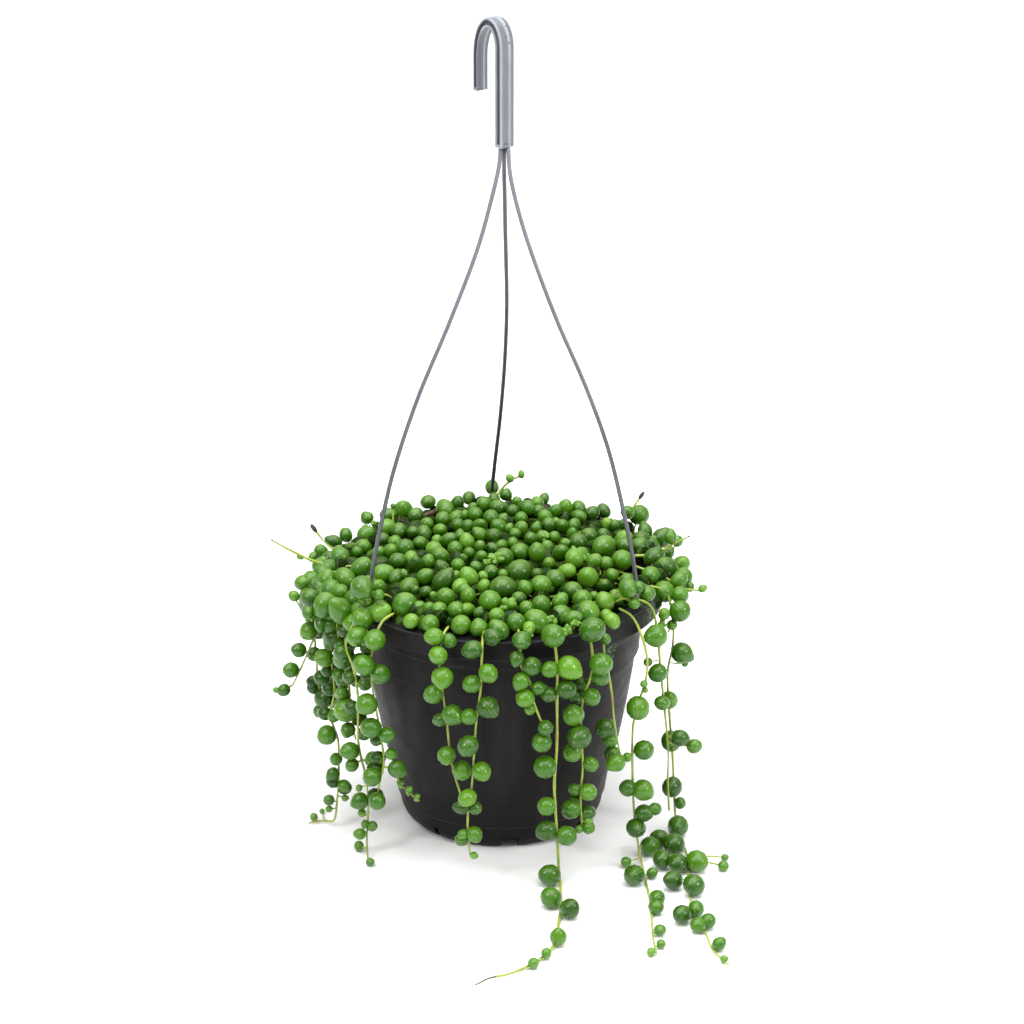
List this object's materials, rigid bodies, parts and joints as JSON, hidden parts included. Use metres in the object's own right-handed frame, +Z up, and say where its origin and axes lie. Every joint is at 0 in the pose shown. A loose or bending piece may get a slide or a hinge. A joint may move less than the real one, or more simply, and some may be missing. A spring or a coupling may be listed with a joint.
{
  "type": "potted string of pearls",
  "caption": "Trailing string of pearls plant in a round hanging pot with a hooked hanger, standing on its base with the longest strands lying along the surface.",
  "frame": {"origin": "centre of the pot's flat underside, on the surface it stands on", "axes": "+Z up along the pot's axis to the hook; -Y is the front, where the longest strands trail; +X is to the right seen from the front"},
  "size_m": [0.205, 0.263, 0.3799],
  "materials": {
    "pot_plastic": "satin moulded plastic, scuffed",
    "potting_mix": "damp and coarse",
    "hook_plastic": "glossy",
    "hanger_plastic": "semi-gloss",
    "pearl_leaves": "waxy, with a faint bloom",
    "young_shoots": "waxy"
  },
  "bodies": {
    "root": {"pot": "pot_plastic", "soil": "potting_mix", "hanger_hook": "hook_plastic", "hanger_strand_left": "hanger_plastic", "hanger_strand_right": "hanger_plastic", "hanger_strand_back": "hanger_plastic", "crown": "pearl_leaves", "strand_front_1": "pearl_leaves", "strand_front_2": "pearl_leaves", "strand_front_3": "pearl_leaves", "strand_front_4": "pearl_leaves", "strand_front_5": "pearl_leaves", "strand_front_6": "pearl_leaves", "strand_left_1": "pearl_leaves", "strand_left_2": "pearl_leaves", "strand_left_3": "pearl_leaves", "strand_left_4": "pearl_leaves", "strand_left_5": "pearl_leaves", "strand_left_6": "pearl_leaves", "strand_right_1": "pearl_leaves", "strand_right_2": "pearl_leaves", "strand_right_3": "pearl_leaves", "strand_back_1": "pearl_leaves", "strand_back_2": "pearl_leaves", "strand_back_3": "pearl_leaves", "strand_back_4": "pearl_leaves", "strand_back_5": "pearl_leaves", "strand_side_1": "pearl_leaves", "strand_side_2": "pearl_leaves", "strand_side_3": "pearl_leaves", "strand_side_4": "pearl_leaves", "strand_side_5": "pearl_leaves", "strand_side_6": "pearl_leaves", "sprout_left_long": "young_shoots", "sprout_left_bud": "young_shoots", "sprout_back": "young_shoots", "sprout_right_bud": "young_shoots", "sprout_right_long": "young_shoots", "sprout_right_tip": "young_shoots"}
  },
  "joints": []
}
